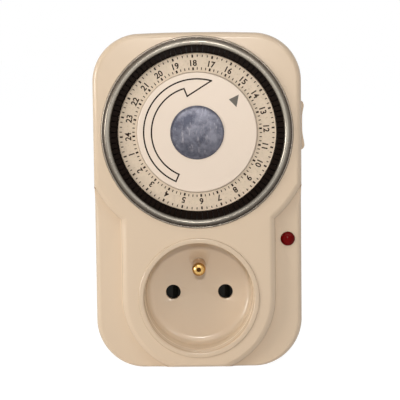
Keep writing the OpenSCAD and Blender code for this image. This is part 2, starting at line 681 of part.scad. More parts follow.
module movement_plate() color("#b9a36a") face() difference() {
    translate([0, 0, plate_z]) linear_extrude(plate_t) intersection() {
        case_outline(wall + 1.4);
        translate([-half_w, plate_post[1] - 2.6]) square([case_w, case_h]);
    }
    for (s = [-1, 1]) rod([s * post_top[0], post_top[1]], post_r - 1 + slip_gap, plate_z - 1, base_z + 1);
    rod(plate_post, 1, plate_z - 1, base_z + 1);
    rod([0, 0], 2.5 + fit_gap, plate_z - 1, base_z + 1, 64);
    rod(rotor_at, small_pitch_r + 1, plate_z - 1, base_z + 1);
    for (p = [final_at, second_at]) rod(p, axle_r + 0.02, plate_z - 1, base_z + 1);
    for (a = [-50, -20, 60]) rod(21 * [cos(a), sin(a)], 5, plate_z - 1, base_z + 1);
    slab(override_x - 5 - slip_gap, half_w, slider_y - 7 - slip_gap, slider_y + 7 + slip_gap, plate_z - 1, base_z + 1);
}
module plate_screw() color("silver") face() {
    rod(plate_post, 2.2, plate_z - 1.2, plate_z, 32);
    rod(plate_post, 0.75, plate_z - eps, base_z + 7, 32);
}
module gear_axles() color("silver") face() {
    rod(final_at, axle_r, plate_z, dial_gear_z + gear_t + 0.6, 32);
    rod(second_at, axle_r, plate_z, final_z + wheel_t + 0.35, 32);
    for (p = [final_at, second_at]) rod(p, axle_r + 0.8, base_z, base_z + 0.5, 32);
}
module final_gear() color("#e9e2d0") face() at(final_at, 0) difference() {
    union() {
        translate([0, 0, final_z]) linear_extrude(wheel_t) gear_shape(final_teeth, train_module, final_phase);
        rod([0, 0], 3, base_z + 0.7, final_z + 0.5, 48);
        translate([0, 0, final_z + wheel_t - 0.2]) linear_extrude(dial_gear_z + gear_t + 0.2 - final_z - wheel_t + 0.2)
            gear_shape(drive_teeth, dial_module, drive_phase);
    }
    rod([0, 0], axle_r + 0.06, base_z, dial_gear_z + gear_t + 1, 32);
    for (a = [45:90:359]) rod(6.6 * [cos(a), sin(a)], 1.6, final_z - 1, final_z + wheel_t + 1, 24);
}
module second_gear() color("#d9b75c") face() at(second_at, 0) difference() {
    union() {
        translate([0, 0, second_z]) linear_extrude(wheel_t) gear_shape(second_teeth, train_module, 0);
        translate([0, 0, second_z + wheel_t - 0.2]) linear_extrude(final_z - second_z + 0.3)
            gear_shape(small_teeth, train_module, second_phase);
    }
    rod([0, 0], axle_r + 0.06, base_z, final_z + 4, 32);
    for (a = [30:60:359]) rod(5.4 * [cos(a), sin(a)], 1.3, second_z - 1, second_z + wheel_t + 1, 24);
}
module rotor() color("#55565a") face() at(rotor_at, 0) {
    rod([0, 0], rotor_r, motor_z + 1.6, plate_z - 2.4, 64);
    rod([0, 0], shaft_r, motor_z + 0.1, second_z + 1, 32);
    translate([0, 0, second_z - 0.4]) linear_extrude(wheel_t + 0.9) gear_shape(small_teeth, train_module, rotor_phase);
}
module motor_can() color("#9a9c9f") face() at(rotor_at, 0) difference() {
    rod([0, 0], motor_r, motor_z, plate_z - motor_top_t, 96);
    rod([0, 0], motor_r - motor_wall, motor_z + motor_wall, plate_z, 96);
    rod([0, 0], shaft_r + fit_gap, motor_z - 1, motor_z + 2, 32);
}
module motor_top() color("#a8aaac") face() at(rotor_at, 0) difference() {
    rod([0, 0], motor_r, plate_z - motor_top_t, plate_z, 96);
    rod([0, 0], shaft_r + fit_gap, plate_z - 3, plate_z + 1, 32);
}
bobbin_z = motor_z + motor_wall + 0.05;
bobbin_top = plate_z - motor_top_t - 0.2;
module motor_bobbin() color("#e6e2d8") face() at(rotor_at, 0) rotate_extrude() polygon([
    [rotor_r + 0.5, bobbin_z], [motor_r - 1.2, bobbin_z], [motor_r - 1.2, bobbin_z + 1], [rotor_r + 1.4, bobbin_z + 1],
    [rotor_r + 1.4, bobbin_top - 1], [motor_r - 1.2, bobbin_top - 1], [motor_r - 1.2, bobbin_top],
    [rotor_r + 0.5, bobbin_top]]);
module motor_coil() color("#b5602c") face() at(rotor_at, 0) difference() {
    rod([0, 0], motor_r - 1.8, bobbin_z + 1.02, bobbin_top - 1.02, 96);
    rod([0, 0], rotor_r + 1.42, bobbin_z, bobbin_top, 96);
}
module motor_leads() color("#3a5fa0") face() {
    lead_z = motor_z + 5;
    lead_y = rotor_at[1] - 3;
    reach = sqrt(pow(motor_r + 0.15, 2) - 9);
    wire([[rotor_at[0] + reach + 0.15, lead_y, lead_z], [pin_x, lead_y, lead_z], [pin_x, lead_y, bar_z + bar_t]], 0.5);
    wire([[rotor_at[0] - reach - 0.15, lead_y, lead_z], [lever_x, lead_y, lead_z], [lever_x, lead_y, bar_z + bar_t]], 0.5);
}

// ---------------------------------------------------------------- switch

module switch_base() color("#2f2d2b") face() difference() {
    union() {
        slab(base_x[0], base_x[1], blade_pivot[0] - 2.4, lever_pivot[0] + 2.4, base_z, base_z + 2);
        for (s = [0, 1]) slab(base_x[s] - s * 1.3, base_x[s] + (1 - s) * 1.3,
            lever_pivot[0] - 2.2, lever_pivot[0] + 2.4, base_z, lever_pivot[1] + 2);
        slab(base_x[0], base_x[0] + 1.3, contact_y - 2.5, contact_y + 2.5, base_z, fixed_z + button_t - 0.05);
        slab(base_x[0], base_x[1], blade_pivot[0] - 2.4, blade_pivot[0] + 1, base_z, blade_pivot[1] - 0.7);
    }
    translate([base_x[0] - 1, lever_pivot[0], lever_pivot[1]]) rotate([0, 90, 0])
        cylinder(r = lever_pin_r + 0.02, h = 20, $fn = 32);
}
module lever_pin() color("silver") face() translate([base_x[0] + 0.1, lever_pivot[0], lever_pivot[1]])
    rotate([0, 90, 0]) cylinder(r = lever_pin_r, h = base_x[1] - base_x[0] - 0.2, $fn = 32);

module yz_plate(x, w) { translate([x - w / 2, 0, 0]) rotate([90, 0, 90]) linear_extrude(w) children(); }
module follower_lever() color("#e3ded2") face() {
    tip_z = foot_z - 0.2;
    tail_z = lever_pivot[1] + 1.5;
    arm_top = foot_z - tappet_travel - run_gap;
    yz_plate(lever_x, lever_w) difference() {
        union() {
            translate(lever_pivot) circle(r = 2, $fn = 32);
            polygon([[lever_tip_y + 1.2, tip_z], [lever_tip_y - 1.2, tip_z], [lever_tip_y - 1.6, arm_top],
                lever_pivot + [0, 1.9], [lever_pivot[0] - lever_tail - 0.5, tail_z],
                [lever_pivot[0] - lever_tail - 0.5, tail_z - 1.2], lever_pivot + [0, -1.9],
                [lever_tip_y + 1.2, arm_top - 1.6]]);
        }
        translate(lever_pivot) circle(r = lever_pin_r + fit_gap, $fn = 32);
    }
}
module contact_blade() color("#c9893e") face() {
    slab(lever_x - 1.3, lever_x + 1.3, blade_pivot[0] - 0.8, blade_pivot[0] + blade_len,
        blade_pivot[1] - blade_t / 2, blade_pivot[1] + blade_t / 2);
    rod([lever_x, contact_y], 1.2, blade_pivot[1], blade_pivot[1] + blade_t / 2 + button_t, 32);
}

// ---------------------------------------------------------------- indicator and override

module indicator_lens() color("#8c1018") face() at([lens_x, -lens_drop], 0) difference() {
    rotate_extrude() polygon(concat(
        [[0, roof_z - 6], [lens_r, roof_z - 6], [lens_r, side_z]],
        [for (i = [1:7]) let (a = 90 * i / 8) [lens_r * cos(a), side_z + lens_r * 0.62 * sin(a)]],
        [[0, side_z + lens_r * 0.62]]));
    rod([0, 0], lens_r - 0.5, roof_z - 7, side_z - 0.8);
}
module neon_lamp() color("#f0b090") face() at([lens_x, -lens_drop], 0) {
    rod([0, 0], lens_r - 0.6, roof_z - 9, side_z - 1.6, 32);
}
module lamp_leads() color("#a03030") face() {
    lamp_z = roof_z - 9.1;
    low_z = bar_z + bar_t + 1.4;
    far_y = -lens_drop - 8;
    wire([[lens_x - 0.8, -lens_drop, lamp_z], [lens_x - 0.8, -lens_drop, low_z],
        [pin_x + 1, -lens_drop, low_z], [pin_x + 1, -lens_drop, bar_z + bar_t]], 0.4);
    wire([[lens_x + 0.8, -lens_drop, lamp_z], [lens_x + 0.8, -lens_drop, low_z + 6],
        [lens_x + 0.8, far_y, low_z], [-24, far_y, low_z], [-24, socket_y, bar_z + bar_t + 0.4]], 0.4);
}

slider_base_x = half_w + 0.12;
module override_slider() color("#dccdb4") face() translate([0, slider_y, slider_z]) {
    half = slider_len / 2;
    neck = slot_half[0] - slider_travel / 2 - 0.2;
    translate([0, 0, -4]) linear_extrude(8) polygon([
        [slider_base_x, -half], [slider_base_x + 1.75, -half + 1.6], [slider_base_x + 1.55, -half + 2.6],
        [slider_base_x + 0.5, -half + 6.6], [slider_base_x + 0.5, half - 5],
        [slider_base_x + 0.95, half - 3], [slider_base_x + 1.35, half - 2.1], [slider_base_x + 1.2, half - 1.3],
        [slider_base_x, half]]);
    slab(half_w - wall - 1.3, slider_base_x + 0.3, -neck, neck, -slot_half[1] + slip_gap, slot_half[1] - slip_gap);
    slab(half_w - wall - 1.3, half_w - wall - 0.12, -neck - 2.4, neck + 2.4, -3.6, 3.6);
}
module override_switch() color("#2b2b2d") face()
    slab(override_x - 5, override_x, slider_y - 7, slider_y + 7, slider_z - 4, slider_z + 4);

front_cover();
rear_cover();
socket_insert();
bezel_ring();
center_disc();
center_label();
number_dial();
dial_gear();
dial_spindle();
dial_clip();
tappets_12_15();
tappets_15_18();
tappets_18_21();
tappets_21_24();
tappets_0_3();
tappets_3_6();
tappets_6_9();
tappets_9_12();
movement_plate();
gear_axles();
final_gear();
second_gear();
rotor();
motor_can();
motor_top();
motor_bobbin();
motor_coil();
motor_leads();
switch_base();
lever_pin();
follower_lever();
contact_blade();
load_bar();
live_bar();
neutral_bar();
line_pin();
neutral_pin();
live_contact();
neutral_contact();
contact_block();
shutter();
earth_pin();
earth_sleeve();
earth_strap();
earth_clips();
indicator_lens();
neon_lamp();
lamp_leads();
override_slider();
override_switch();
case_screws();
plate_screw();
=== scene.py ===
"""Looks of the plug-in timer switch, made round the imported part.

Shapes are drawn in mm on the face's axes: x right, y up, z towards the user.
Materials work in metres in the part's frame, where the face's (x, y, z) lies at (x, -z, y).
"""
import json
import math

import bmesh
import bpy
from mathutils import Matrix, Vector


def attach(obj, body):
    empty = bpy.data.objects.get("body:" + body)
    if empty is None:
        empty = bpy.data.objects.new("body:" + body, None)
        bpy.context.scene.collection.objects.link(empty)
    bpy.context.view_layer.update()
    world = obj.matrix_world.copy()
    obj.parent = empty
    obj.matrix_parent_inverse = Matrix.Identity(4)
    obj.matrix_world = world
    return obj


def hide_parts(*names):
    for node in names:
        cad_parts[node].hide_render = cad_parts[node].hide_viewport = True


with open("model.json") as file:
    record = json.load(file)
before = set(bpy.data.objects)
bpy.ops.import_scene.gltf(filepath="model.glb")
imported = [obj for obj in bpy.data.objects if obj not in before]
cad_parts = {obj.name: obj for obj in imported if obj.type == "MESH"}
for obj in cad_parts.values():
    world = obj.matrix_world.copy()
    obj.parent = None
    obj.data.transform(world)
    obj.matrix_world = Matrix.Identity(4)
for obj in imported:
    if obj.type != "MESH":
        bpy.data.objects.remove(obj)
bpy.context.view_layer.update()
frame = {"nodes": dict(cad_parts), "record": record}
NODES = frame["nodes"]
SLOT_OF = {s["node"]: s["material_slot"] for s in frame["record"]["subparts"]}
MM = 0.001
# The face's axes in mm to the part's frame in metres
FACE = Matrix(((MM, 0, 0, 0), (0, 0, -MM, 0), (0, MM, 0, 0), (0, 0, 0, 1)))
scene = bpy.context.scene
scene.view_settings.view_transform = "Standard"


def sine(deg):
    return math.sin(math.radians(deg))


def cosine(deg):
    return math.cos(math.radians(deg))


# ---------------------------------------------------------------- camera

AZIMUTH, ELEVATION, ROLL = 0.43, 5.8, -0.67
DISTANCE, FOCAL_PX, AIM = 598, 1652, (0.63, -25.3, 45)
IMAGE_PX, SENSOR = 400, 36


def camera_axes():
    """The camera's right, up and backward directions on the face's axes."""
    back = Vector((sine(AZIMUTH) * cosine(ELEVATION), sine(ELEVATION),
                   cosine(AZIMUTH) * cosine(ELEVATION)))
    right = Vector((0, 1, 0)).cross(back).normalized()
    up = back.cross(right)
    cos, sin = cosine(ROLL), sine(ROLL)
    return cos * right + sin * up, -sin * right + cos * up, back


def add_camera():
    """The camera at the photograph's place; gives back where it stands, in metres."""
    axes = camera_axes()
    at = FACE @ (Vector(AIM) + DISTANCE * axes[2])
    turn = FACE.to_3x3() * (1 / MM)
    camera = bpy.data.objects.new("camera", bpy.data.cameras.new("camera"))
    scene.collection.objects.link(camera)
    camera.data.sensor_width = SENSOR
    camera.data.lens = FOCAL_PX / IMAGE_PX * SENSOR
    camera.data.clip_start, camera.data.clip_end = 0.05, 30
    facing = Matrix([turn @ axis for axis in axes]).transposed()
    camera.matrix_world = Matrix.Translation(at) @ facing.to_4x4()
    scene.camera = camera
    return at


CAMERA_AT = add_camera()


# ---------------------------------------------------------------- node builder

M = {}                          # the finished materials by name
NOISE_LOW, NOISE_HIGH = 0.3, 0.7    # nearly all of a noise lies between these
FLOW = {"scale": 45, "detail": 4, "rough": 0.6}     # broad mottling of moulded plastic
POLISH = {"scale": 160, "detail": 3, "rough": 0.5}  # slow changes of gloss


def linear(rgb):
    """sRGB 0-255 to linear."""
    return tuple(v / 255 / 12.92 if v <= 10 else ((v / 255 + 0.055) / 1.055) ** 2.4 for v in rgb)


def shade(rgb, k):
    return tuple(min(1, v * k) for v in rgb)


class Nodes:
    """A small builder for one material's node tree."""

    def __init__(self, name):
        self.name = name
        self.mat = bpy.data.materials.new(name)
        self.mat.use_nodes = True
        self.tree = self.mat.node_tree
        self.shader = self.tree.nodes["Principled BSDF"]
        self.coord = self.add("ShaderNodeTexCoord").outputs["Object"]

    def add(self, kind, **values):
        n = self.tree.nodes.new(kind)
        for k, v in values.items():
            setattr(n, k, v)
        return n

    def link(self, a, b):
        self.tree.links.new(a, b)

    def vector(self, operation, value, other=None):
        n = self.add("ShaderNodeVectorMath", operation=operation)
        self.link(value, n.inputs[0])
        if other:
            n.inputs[1].default_value = other
        return n.outputs

    def axis(self, name):
        """One coordinate of the point, in metres."""
        split = self.add("ShaderNodeSeparateXYZ")
        self.link(self.coord, split.inputs[0])
        return split.outputs[name]

    def radius(self, centre=None):
        """Distance in metres from the dial's axis, or from one beside it through centre."""
        point = self.vector("SUBTRACT", self.coord, centre)[0] if centre else self.coord
        return self.vector("LENGTH", self.vector("MULTIPLY", point, (1, 0, 1))[0])["Value"]

    def noise(self, scale, detail=3, rough=0.5, stretch=None):
        n = self.add("ShaderNodeTexNoise")
        n.inputs["Scale"].default_value = scale
        n.inputs["Detail"].default_value = detail
        n.inputs["Roughness"].default_value = rough
        source = self.coord
        if stretch:
            m = self.add("ShaderNodeMapping")
            m.inputs["Scale"].default_value = stretch
            self.link(source, m.inputs["Vector"])
            source = m.outputs["Vector"]
        self.link(source, n.inputs["Vector"])
        return n.outputs["Fac"]

    def rings(self, scale, centre=None):
        """Fine turning lines round an axis."""
        n = self.add("ShaderNodeTexNoise", noise_dimensions="1D")
        n.inputs["Scale"].default_value = scale
        n.inputs["Detail"].default_value = 4
        self.link(self.radius(centre), n.inputs["W"])
        return n.outputs["Fac"]

    def span(self, fac, lo, hi, start=NOISE_LOW, end=NOISE_HIGH):
        """lo to hi while fac goes from start to end."""
        m = self.add("ShaderNodeMapRange")
        for k, v in (("From Min", start), ("From Max", end), ("To Min", lo), ("To Max", hi)):
            m.inputs[k].default_value = v
        self.link(fac, m.inputs["Value"])
        return m.outputs["Result"]

    def mix(self, fac, a, b, blend="MIX"):
        """a and b, each a colour or a socket, mixed by fac."""
        m = self.add("ShaderNodeMix", data_type="RGBA", blend_type=blend)
        if isinstance(fac, (int, float)):
            m.inputs[0].default_value = fac
        else:
            self.link(fac, m.inputs[0])
        for socket, v in ((m.inputs[6], a), (m.inputs[7], b)):
            if isinstance(v, tuple):
                socket.default_value = (*v, 1)
            else:
                self.link(v, socket)
        return m.outputs[2]

    def graded(self, colour, low, high, at_low, at_high):
        """The colour times a factor that changes with height, from low to high in metres."""
        factor = self.mix(self.span(self.axis("Z"), 0, 1, low, high), at_low, at_high)
        return self.mix(1, colour, factor, "MULTIPLY")

    def bump(self, fac, strength, depth=0.00003):
        n = self.add("ShaderNodeBump")
        n.inputs["Strength"].default_value = strength
        n.inputs["Distance"].default_value = depth
        self.link(fac, n.inputs["Height"])
        return n.outputs["Normal"]

    def finish(self, colour, rough, normal=None, constants=None):
        """Join everything to the shader; the constants go straight on its sockets."""
        for socket, value in (("Base Color", colour), ("Roughness", rough), ("Normal", normal)):
            if value:
                self.link(value, self.shader.inputs[socket])
        for socket, value in (constants or {}).items():
            self.shader.inputs[socket].default_value = value
        M[self.name] = self.mat


# ---------------------------------------------------------------- materials

def plastic(name, rgb, rough, mottle, grain, relief, coat=0.0, specks=None, gloss=0.5):
    """Moulded plastic: faint flow mottling, fine surface grain, uneven gloss."""
    g, c = Nodes(name), linear(rgb)
    cloud, fine = g.noise(**FLOW), g.noise(grain)
    colour = g.mix(g.span(cloud, 0, 1), shade(c, 1 - mottle), shade(c, 1 + mottle))
    colour = g.mix(g.span(fine, 0, 0.35, 0.5, 0.75), colour, shade(c, 1 - 2 * mottle))
    if specks:
        colour = g.mix(g.span(g.noise(900, 1), 0, 0.8, 0.72, 0.76), colour, linear(specks))
    g.finish(colour, g.span(g.noise(**POLISH), rough * 0.94, rough * 1.08), g.bump(fine, relief),
             {"Coat Weight": coat, "Specular IOR Level": gloss})


def recess_plastic():
    """The socket insert: its collar matches the cover, and the recess is a lighter copy, painted
    light against the shade inside it.
    """
    # Painted light: the recess's colour is lighter than the collar's to make up for its shade
    g, c = Nodes("recess_plastic"), linear((222, 202, 177))
    inside = g.mix(g.span(g.noise(**FLOW), 0, 1), shade(c, 0.99), shade(c, 1.01))
    is_collar = g.span(g.axis("Y"), 1, 0, -0.0578, -0.0568)
    g.finish(g.mix(is_collar, inside, linear((211, 188, 161))),
             g.span(g.noise(**POLISH), 0.2, 0.24), g.bump(g.noise(1600), 0.03),
             {"Coat Weight": 0.15, "Specular IOR Level": 0.5})


def dial_plastic():
    """Cream number ring with fine flecks; the flange under the tappets is coloured black as painted
    shade in the gaps between them.
    """
    g, c = Nodes("dial_plastic"), linear((217, 198, 175))
    colour = g.mix(g.span(g.noise(700), 0, 1), shade(c, 0.95), shade(c, 1.04))
    colour = g.mix(g.span(g.noise(1500, 2), 0, 0.5, 0.6, 0.7), colour, linear((178, 156, 122)))
    # Painted shade: the flange seen through the gaps between the tappets is black
    is_flange = g.span(g.radius(), 0, 1, 0.02797, 0.028)
    g.finish(g.mix(is_flange, colour, linear((16, 11, 8))),
             g.span(g.noise(160, 5, 0.65), 0.3, 0.45), g.bump(g.noise(1500), 0.1),
             {"Specular IOR Level": 0.25})


def label_metal():
    """Crumpled blue-grey foil of the round label, with painted light at its top and painted shade
    at its bottom, and dark at its rim.
    """
    g = Nodes("label_metal")
    creases, scuffs = g.noise(190, 4, 0.65), g.noise(900, 4, 0.7, (1, 1, 0.3))
    colour = g.mix(g.span(creases, 0, 1, 0.36, 0.64), linear((66, 68, 82)), linear((118, 118, 130)))
    colour = g.mix(g.span(scuffs, 0, 0.7, 0.55, 0.72), colour, linear((172, 168, 176)))
    colour = g.mix(g.span(g.noise(420), 0, 0.5, 0.55, 0.7), colour, linear((52, 50, 62)))
    # Painted light and shade: darker towards the bottom of the label and lighter towards its top
    colour = g.graded(colour, -0.009, 0.009, (0.68, 0.66, 0.64), (1.5, 1.5, 1.45))
    is_rim = g.span(g.radius(), 0, 0.75, 0.0084, 0.0092)
    g.finish(g.mix(is_rim, colour, linear((58, 56, 66))), g.span(scuffs, 0.42, 0.62),
             g.bump(scuffs, 0.35, 0.00006), {"Metallic": 0.5})


def bezel_metal():
    """Plated ring: a painted highlight over the bead, painted shade at its two feet."""
    g = Nodes("bezel_metal")
    radius, haze = g.radius(), g.noise(160, 4, 0.6)
    bead = g.mix(g.span(haze, 0, 1), linear((170, 163, 150)), linear((150, 142, 130)))
    # Painted reflection of the black tappets: the inner foot's dark colour
    colour = linear((84, 76, 66))
    # From the lip outwards: where each band starts and is complete, and its colour; the bead's band
    # is a painted highlight, the dark band in the groove painted shade
    for start, end, band in ((0.0307, 0.0313, bead),
                             (0.0318, 0.0325, linear((108, 99, 88))),
                             (0.0330, 0.0332, linear((66, 57, 50))),
                             (0.03335, 0.0334, linear((158, 146, 131)))):
        colour = g.mix(g.span(radius, 0, 1, start, end), colour, band)
    # Painted shade: the ring darkens to half towards its bottom
    colour = g.graded(colour, -0.034, 0.0, (0.5, 0.5, 0.5), (1, 1, 1))
    g.finish(colour, g.span(haze, 0.2, 0.3), g.bump(g.rings(1200), 0.03, 0.00001),
             {"Metallic": 0.6})


def metal(name, rgb, rough, tint=None, relief=0.1, stretch=(1, 0.06, 1), turned=None):
    """Metal with drawn or turned lines, uneven polish and a little tarnish."""
    g, c = Nodes(name), linear(rgb)
    lines = g.rings(9000, turned) if turned else g.noise(700, 4, 0.6, stretch)
    tarnish = g.noise(110, 5, 0.65)
    colour = g.mix(g.span(tarnish, 0, 1), c, linear(tint) if tint else shade(c, 0.8))
    colour = g.mix(g.span(lines, 0, 0.25), colour, shade(c, 0.7))
    g.finish(colour, g.span(lines, rough * 0.6, rough * 1.4), g.bump(lines, relief, 0.00002),
             {"Metallic": 1})


def lens_red():
    """Clear red plastic of the indicator, a little streaky."""
    g, c = Nodes("lens_red"), linear((98, 0, 0))
    g.finish(g.mix(g.span(g.noise(260), 0, 1), shade(c, 0.75), shade(c, 1.3)),
             g.span(g.noise(600), 0.08, 0.16), g.bump(g.noise(500, 2), 0.06),
             {"Specular IOR Level": 0.06, "Subsurface Weight": 0.1,
              "Subsurface Radius": (0.002, 0.0004, 0.0003)})


def lamp_glass():
    """The neon lamp's glass, slightly hazy."""
    g, c = Nodes("lamp_glass"), linear((245, 205, 180))
    haze = g.noise(400)
    g.finish(g.mix(g.span(haze, 0, 1), c, shade(c, 0.85)), g.span(haze, 0.02, 0.12),
             constants={"Transmission Weight": 0.85})


def winding():
    """Enamelled wire, wound in layers round the motor's axis."""
    g, c = Nodes("winding"), linear((176, 92, 44))
    turns = g.add("ShaderNodeTexWave", bands_direction="Y")
    turns.inputs["Scale"].default_value = 900
    turns.inputs["Distortion"].default_value = 0.6
    g.link(g.coord, turns.inputs["Vector"])
    wave = turns.outputs["Fac"]
    g.finish(g.mix(wave, shade(c, 0.5), shade(c, 1.15)), g.span(g.noise(300), 0.25, 0.45),
             g.bump(wave, 0.5, 0.0001), {"Metallic": 0.85})


# Name, colour, roughness, then mottling, grain and relief of the plastics
plastic("cover_plastic", (217, 194, 167), 0.24, 0.004, 1600, 0.02, coat=0.1)
plastic("disc_plastic", (230, 212, 194), 0.30, 0.012, 1800, 0.06)
plastic("tappet_plastic", (20, 11, 6), 0.34, 0.12, 1700, 0.10, gloss=0.03)
plastic("gear_plastic", (232, 224, 206), 0.45, 0.03, 1200, 0.10)
plastic("dark_plastic", (25, 25, 23), 0.42, 0.1, 1100, 0.2, specks=(52, 50, 48), gloss=0.1)
plastic("ink", (50, 36, 28), 0.5, 0.2, 2500, 0.2, gloss=0.1)
plastic("pointer_ink", (98, 92, 84), 0.5, 0.1, 2500, 0.2, gloss=0.3)
plastic("wire_sleeve", (70, 84, 140), 0.5, 0.06, 1500, 0.15)
metal("steel", (176, 178, 182), 0.28)
metal("nickel", (206, 204, 200), 0.2, turned=(0.0095, 0, 0))    # round a plug pin's axis
metal("brass", (216, 176, 110), 0.22, tint=(176, 132, 70))
# Painted reflection: the dark brown spot in the middle of the earth pin's dome
metal("painted_pin_reflection", (70, 42, 16), 0.5, tint=(44, 26, 10))
metal("copper", (196, 124, 84), 0.3, tint=(140, 84, 56))
metal("magnet", (92, 92, 96), 0.5, relief=0.4, stretch=(1, 1, 1))
for special in (recess_plastic, dial_plastic, label_metal, bezel_metal, lens_red, lamp_glass,
                winding):
    special()

for node, obj in NODES.items():
    obj.data.materials.clear()
    obj.data.materials.append(M["winding" if node == "motor_coil" else SLOT_OF[node]])


# ---------------------------------------------------------------- mesh tools

ROUND, SMALL_ROUND = 192, 96    # sides of a full circle
BEVEL_ABOVE, SHARP_ABOVE, SHELL_SHARP = 50, 32, 28      # angles between faces, in degrees


def polar(r, deg, centre=(0, 0)):
    return centre[0] + r * cosine(deg), centre[1] + r * sine(deg)


def arc(centre, r, start, end, n):
    """n + 1 points from one angle to the other."""
    return [polar(r, start + (end - start) * i / n, centre) for i in range(n + 1)]


def circle(r, centre, n):
    return [(centre[0] + r * math.cos(2 * math.pi * i / n),
             centre[1] + r * math.sin(2 * math.pi * i / n)) for i in range(n)]


def lathe(profile, centre=(0, 0), n=ROUND, closed=False):
    """A turned shape; the profile is (radius, z), counter-clockwise."""
    verts, rows = [], []
    for r, z in profile:
        if r == 0:
            rows.append([len(verts)] * n)
            verts.append((*centre, z))
        else:
            rows.append(list(range(len(verts), len(verts) + n)))
            verts += [(x, y, z) for x, y in circle(r, centre, n)]
    faces = []
    for p, q in list(zip(rows, rows[1:])) + ([(rows[-1], rows[0])] if closed else []):
        for i in range(n):
            k = (i + 1) % n
            corners = dict.fromkeys((p[i], p[k], q[k], q[i]))
            if len(corners) > 2:
                faces.append(tuple(corners))
    return verts, faces


def prism(outline, z0, z1):
    """The outline, counter-clockwise, drawn out from z0 to z1."""
    n = len(outline)
    verts = [(x, y, z) for z in (z0, z1) for x, y in outline]
    faces = [tuple(range(n - 1, -1, -1)), tuple(range(n, 2 * n))]
    faces += [(i, (i + 1) % n, n + (i + 1) % n, n + i) for i in range(n)]
    return verts, faces


def disc(r, z0, z1, centre=(0, 0), n=ROUND):
    return prism(circle(r, centre, n), z0, z1)


def box(x0, x1, y0, y1, z0, z1):
    return prism([(x0, y0), (x1, y0), (x1, y1), (x0, y1)], z0, z1)


def joined(*shapes):
    verts, faces = [], []
    for v, f in shapes:
        faces += [tuple(i + len(verts) for i in g) for g in f]
        verts += v
    return verts, faces


def raw(name, shape, split_caps=False):
    """The shape as an object; with split_caps its many-sided faces are cut into triangles."""
    mesh = bpy.data.meshes.new(name)
    mesh.from_pydata([tuple(v) for v in shape[0]], [], shape[1])
    mesh.transform(FACE)
    if split_caps:
        work = bmesh.new()
        work.from_mesh(mesh)
        bmesh.ops.triangulate(work, faces=[f for f in work.faces if len(f.verts) > 4])
        work.to_mesh(mesh)
        work.free()
    mesh.validate()
    obj = bpy.data.objects.new(name, mesh)
    scene.collection.objects.link(obj)
    return obj


def carve(name, shape, cutters, fillet):
    """The shape with the cutters taken out, one after the other, and its edges eased."""
    obj = raw(name, shape, True)
    tools = [raw(f"{name}_cutter_{i}", c, True) for i, c in enumerate(cutters)]
    for t in tools:
        m = obj.modifiers.new(t.name, "BOOLEAN")
        m.operation, m.solver, m.object = "DIFFERENCE", "EXACT", t
    if fillet:
        b = obj.modifiers.new("edges", "BEVEL")
        b.width, b.segments, b.use_clamp_overlap = fillet * MM, 2, True
        b.limit_method, b.angle_limit = "ANGLE", math.radians(BEVEL_ABOVE)
    deps = bpy.context.evaluated_depsgraph_get()
    mesh = bpy.data.meshes.new_from_object(obj.evaluated_get(deps))
    obj.modifiers.clear()
    obj.data = mesh
    for t in tools:
        bpy.data.objects.remove(t)
    return obj


def dress(obj, slot, body="housing", sharp=SHARP_ABOVE, replaces=(), finish=None):
    """Material, shading and the frame's facts of a piece; finish is a look within its slot."""
    mesh = obj.data
    mesh.materials.clear()
    mesh.materials.append(M[finish or slot])
    mesh.polygons.foreach_set("use_smooth", [True] * len(mesh.polygons))
    mesh.set_sharp_from_angle(angle=math.radians(sharp))
    mesh.update()
    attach(obj, body)
    if replaces:
        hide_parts(*replaces)


def make(name, shape, slot, body="housing", **more):
    dress(raw(name, shape), slot, body, **more)


def turned(name, profile, slot, centre=(0, 0), n=ROUND, closed=False, **more):
    make(name, lathe(profile, centre, n, closed), slot, **more)


def moulded(name, shape, cutters, replaces, body="housing", finish=None, fillet=0.0):
    """A carved piece of the case's plastic."""
    dress(carve(name, shape, cutters, fillet), "cover_plastic", body, SHELL_SHARP, (replaces,),
          finish)


# ---------------------------------------------------------------- the case's outlines

HALF_W, TOP_Y, CASE_H, CORNER_R = 36.75, 35.2, 119.7, 17.0
BOW = 0.35                              # fall of the top edge from its middle to the corners
FACE_R, NECK_HALF, SOCKET_Y = 39.5, 25.6, -59.0     # the raised face's keyhole
SLOPE_W, SIDE_DROP = 2.1, 3.5           # the slope round it, and how low the side areas lie
SHOULDER_RUN = 12.0                     # length in which the sides' rounding grows to its full
LEAN, FOOT = 0.8, 0.5                   # see lean() and foot()
FRONT_ROUND, REAR_ROUND, CHAMFER, WALL = 2.0, 3.0, 0.3, 2.2
REAR_Z, PART_Z, SIDE_Z, FRONT_Z = 16.0, 30.0, 55.5, 59.0
BOTTOM_Y, ROOF_Z = TOP_Y - CASE_H, SIDE_Z - WALL
CX = HALF_W - CORNER_R                  # centres of the corners: x, upper y, lower y
CT, CL = TOP_Y - BOW - CORNER_R, BOTTOM_Y + BOW + CORNER_R
# Points along an outline: corner, turn to the neck, neck, round the socket, half an edge,
# and the foot between corner and neck
ARC_N, TURN_N, NECK_N, ROUND_N, RUN_N, EDGE_N = 40, 24, 12, 56, 8, 10

# In these functions e is the inset from the case's edge, and out the distance outside the
# keyhole. All outlines have the right half's points from the top middle to the bottom middle.


def eased(t):
    """0 to 1 with a soft start and end."""
    return 1 if t >= 1 else t * t * (3 - 2 * t)


def lean(z):
    """The foot of the raised face leans back a little, from the side areas' edge up."""
    return LEAN * max(0, z - SIDE_Z + FRONT_ROUND) / SIDE_DROP


def foot(x, e):
    """A point of the bottom edge, which takes only a share of the inset."""
    return x, BOTTOM_Y + FOOT * e


def shoulder_y(out, e):
    """Where the dial's round meets the case's side."""
    return -math.sqrt((FACE_R + out) ** 2 - (HALF_W - e) ** 2)


